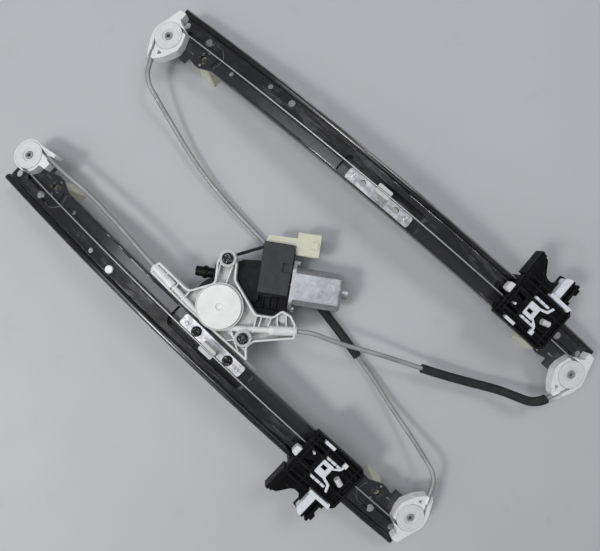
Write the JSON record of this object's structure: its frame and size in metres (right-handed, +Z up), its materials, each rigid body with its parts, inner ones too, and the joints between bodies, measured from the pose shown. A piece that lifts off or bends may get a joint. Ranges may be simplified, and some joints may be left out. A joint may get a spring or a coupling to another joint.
{
  "type": "window regulator",
  "caption": "Twin-rail cable window regulator: curved guide rails with glass carriers, pulleys and sheathed cables, driven by a geared electric motor through a cable drum.",
  "frame": {"origin": "middle of the bounding box, on the table that the locating plugs stand on", "axes": "+Y along the rails to their upper ends (window shut), +X to the right-hand rail, +Z up from the table, out of the rails' crowns"},
  "size_m": [0.3376, 0.5734, 0.0585],
  "materials": {
    "rail_paint": "gloss black electro-coat with grease smears",
    "galvanised": "galvanised, faint spangle",
    "guide_nylon": "satin",
    "white_acetal": "satin moulded",
    "pulley_acetal": "satin moulded",
    "rivet_steel": "darkened",
    "ivory_nylon": "satin, slightly translucent",
    "black_screw": "black phosphate",
    "bright_screw": "bright zinc",
    "white_plug": "gloss",
    "black_nylon": "satin, fine texture",
    "shoe_nylon": "satin",
    "white_insert": "satin",
    "ferrule_steel": "satin",
    "bumper_rubber": "matte",
    "milky_nylon": "translucent, satin",
    "cream_acetal": "satin",
    "gear_acetal": "satin",
    "shaft_steel": "ground",
    "winding_copper": "lacquered",
    "can_zinc": "zinc plated, blotched",
    "magnet_ferrite": "matte",
    "bush_bronze": "oiled",
    "brush_plastic": "matte",
    "cover_matte": "matte, fine grain",
    "board_green": "gloss",
    "pin_tin": "tinned",
    "wire_steel": "greased strand",
    "sheath_grey": "translucent sheath",
    "foam_black": "matte foam"
  },
  "bodies": {
    "frame": {"left_rail": "rail_paint", "right_rail": "rail_paint", "left_bridge_plate": "galvanised", "right_bridge_plate": "galvanised", "left_wire_guide": "guide_nylon", "right_wire_guide": "guide_nylon", "left_top_bracket": "white_acetal", "left_bottom_bracket": "white_acetal", "right_top_bracket": "white_acetal", "right_bottom_bracket": "white_acetal", "pulley_rivets": "rivet_steel", "locating_plugs": "ivory_nylon", "connector": "ivory_nylon", "plate_screws": "black_screw", "housing_screws": "black_screw", "motor_screws": "bright_screw", "rail_button": "white_plug", "gear_housing": "black_nylon", "drum_housing": "milky_nylon", "motor_can": "can_zinc", "motor_flange": "can_zinc", "magnets": "magnet_ferrite", "end_bush": "bush_bronze", "brush_holder": "brush_plastic", "electronics_cover": "cover_matte", "circuit_board": "board_green", "connector_pins": "pin_tin", "wire_a": "wire_steel", "wire_b": "wire_steel", "wire_c": "wire_steel", "conduit_a": "sheath_grey", "conduit_b": "sheath_grey", "conduit_c": "sheath_grey", "foam_sleeve_b": "foam_black", "foam_sleeve_c": "foam_black"},
    "armature": {"armature_shaft": "shaft_steel", "rotor": "winding_copper"},
    "drum": {"cable_drum": "cream_acetal", "worm_wheel": "gear_acetal"},
    "left_carrier": {"left_carrier_body": "black_nylon", "left_carrier_shoe": "shoe_nylon", "left_glass_pad": "white_insert", "left_side_bars": "white_insert", "left_lock_clip": "white_insert", "left_slide_pads": "white_insert", "left_wire_ends": "ferrule_steel", "left_bumper": "bumper_rubber"},
    "left_top_wheel": {"left_top_pulley": "pulley_acetal"},
    "left_bottom_wheel": {"left_bottom_pulley": "pulley_acetal"},
    "right_carrier": {"right_carrier_body": "black_nylon", "right_carrier_shoe": "shoe_nylon", "right_glass_pad": "white_insert", "right_side_bars": "white_insert", "right_lock_clip": "white_insert", "right_slide_pads": "white_insert", "right_wire_ends": "ferrule_steel", "right_bumper": "bumper_rubber"},
    "right_top_wheel": {"right_top_pulley": "pulley_acetal"},
    "right_bottom_wheel": {"right_bottom_pulley": "pulley_acetal"}
  },
  "joints": [
    {"name": "armature_spin", "type": "hinge", "parent": "frame", "child": "armature", "pos_m": [-0.04813, 0.04704, 0.0247], "axis": [0.5417, -0.8406, 0], "range_deg": [-4088, 73730]},
    {"name": "drum_spin", "type": "hinge", "parent": "frame", "child": "drum", "pos_m": [-0.07335, 0.03079, 0.042], "axis": [0, 0, 1], "range_deg": [-57, 1011]},
    {"name": "left_travel", "type": "hinge", "parent": "frame", "child": "left_carrier", "pos_m": [-0.13235, 0.01349, -1.1507], "axis": [-0.9995, 0.0305, 0], "range_deg": [-1, 17.2]},
    {"name": "right_travel", "type": "hinge", "parent": "frame", "child": "right_carrier", "pos_m": [0.13165, -0.01051, -1.1507], "axis": [-0.9995, -0.0305, 0], "range_deg": [-1, 17.2]},
    {"name": "left_top_spin", "type": "hinge", "parent": "frame", "child": "left_top_wheel", "pos_m": [-0.08968, 0.27059, 0.02732], "axis": [0.0065, 0.2141, 0.9768], "range_deg": [-1652, 95]},
    {"name": "left_bottom_spin", "type": "hinge", "parent": "frame", "child": "left_bottom_wheel", "pos_m": [-0.10545, -0.24573, 0.02732], "axis": [-0.0065, -0.2141, 0.9768], "range_deg": [-1652, 95]},
    {"name": "right_top_spin", "type": "hinge", "parent": "frame", "child": "right_top_wheel", "pos_m": [0.08898, 0.24659, 0.02732], "axis": [-0.0065, 0.2141, 0.9768], "range_deg": [-95, 1652]},
    {"name": "right_bottom_spin", "type": "hinge", "parent": "frame", "child": "right_bottom_wheel", "pos_m": [0.10475, -0.26973, 0.02732], "axis": [0.0065, -0.2141, 0.9768], "range_deg": [-95, 1652]}
  ],
  "couplings": [
    {"joint": "drum_spin", "follows": "armature_spin", "ratio": 0.013699},
    {"joint": "left_travel", "follows": "armature_spin", "ratio": 0.00023172},
    {"joint": "right_travel", "follows": "armature_spin", "ratio": 0.00023172},
    {"joint": "left_top_spin", "follows": "armature_spin", "ratio": -0.022356},
    {"joint": "left_bottom_spin", "follows": "armature_spin", "ratio": -0.022356},
    {"joint": "right_top_spin", "follows": "armature_spin", "ratio": 0.022356},
    {"joint": "right_bottom_spin", "follows": "armature_spin", "ratio": 0.022356}
  ]
}
